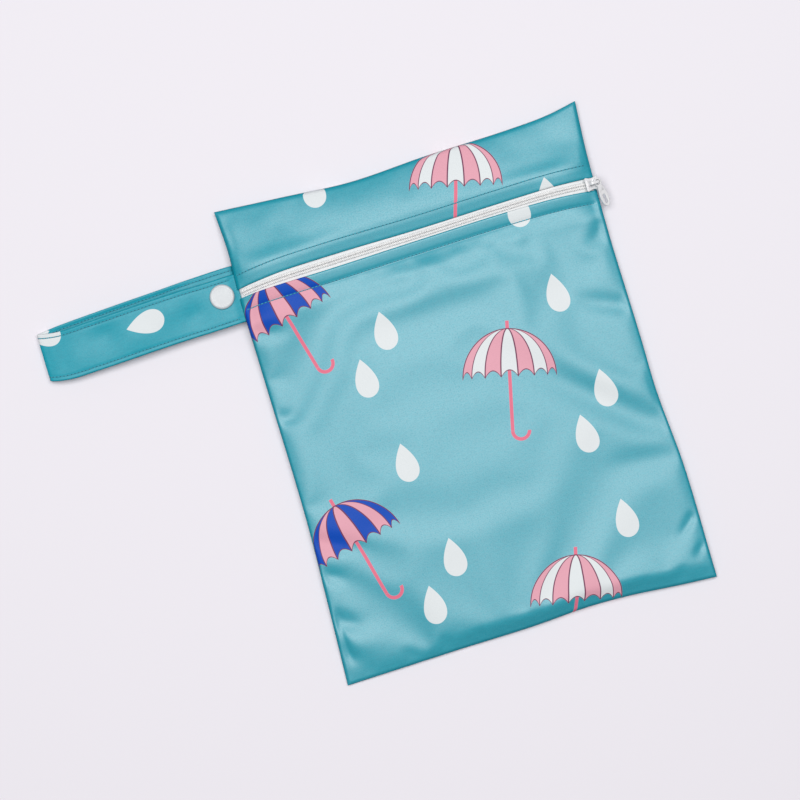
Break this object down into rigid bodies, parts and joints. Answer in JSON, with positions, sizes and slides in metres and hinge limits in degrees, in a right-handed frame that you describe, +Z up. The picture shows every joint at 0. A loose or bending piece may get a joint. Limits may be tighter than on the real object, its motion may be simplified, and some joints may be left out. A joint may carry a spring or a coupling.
{
  "type": "waterproof diaper bag",
  "caption": "Small flat zip pouch of waterproof satin cloth, lying on its back, with a coil zip below its top edge and a wrist strap snapped into a loop.",
  "frame": {"origin": "middle of the back panel's resting face, which lies on the surface below", "axes": "+X along the zip from the strap to the closed end, +Y from the bottom edge to the top edge, +Z up"},
  "size_m": [0.2946, 0.2486, 0.0128],
  "materials": {
    "pouch_cloth": "satin coated weave",
    "strap_cloth": "satin coated weave",
    "zip_tape": "woven tape",
    "zip_nylon": "satin nylon",
    "white_enamel": "gloss enamel",
    "snap_plastic": "gloss"
  },
  "bodies": {
    "bag": {"back_panel": "pouch_cloth", "front_panel": "pouch_cloth", "header_panel": "pouch_cloth", "zip_tape_lower": "zip_tape", "zip_tape_upper": "zip_tape", "zip_coil_lower": "zip_nylon", "zip_coil_upper": "zip_nylon", "zip_slider": "white_enamel", "wrist_strap": "strap_cloth", "snap_cap_front": "snap_plastic", "snap_core": "snap_plastic", "snap_cap_back": "snap_plastic"},
    "pull": {"zip_pull": "white_enamel"}
  },
  "joints": [
    {"name": "pull_swivel", "type": "hinge", "parent": "bag", "child": "pull", "pos_m": [0.09396, 0.08196, 0.00885], "axis": [0.3809, 0, 0.9246], "range_deg": [0, 150]}
  ]
}
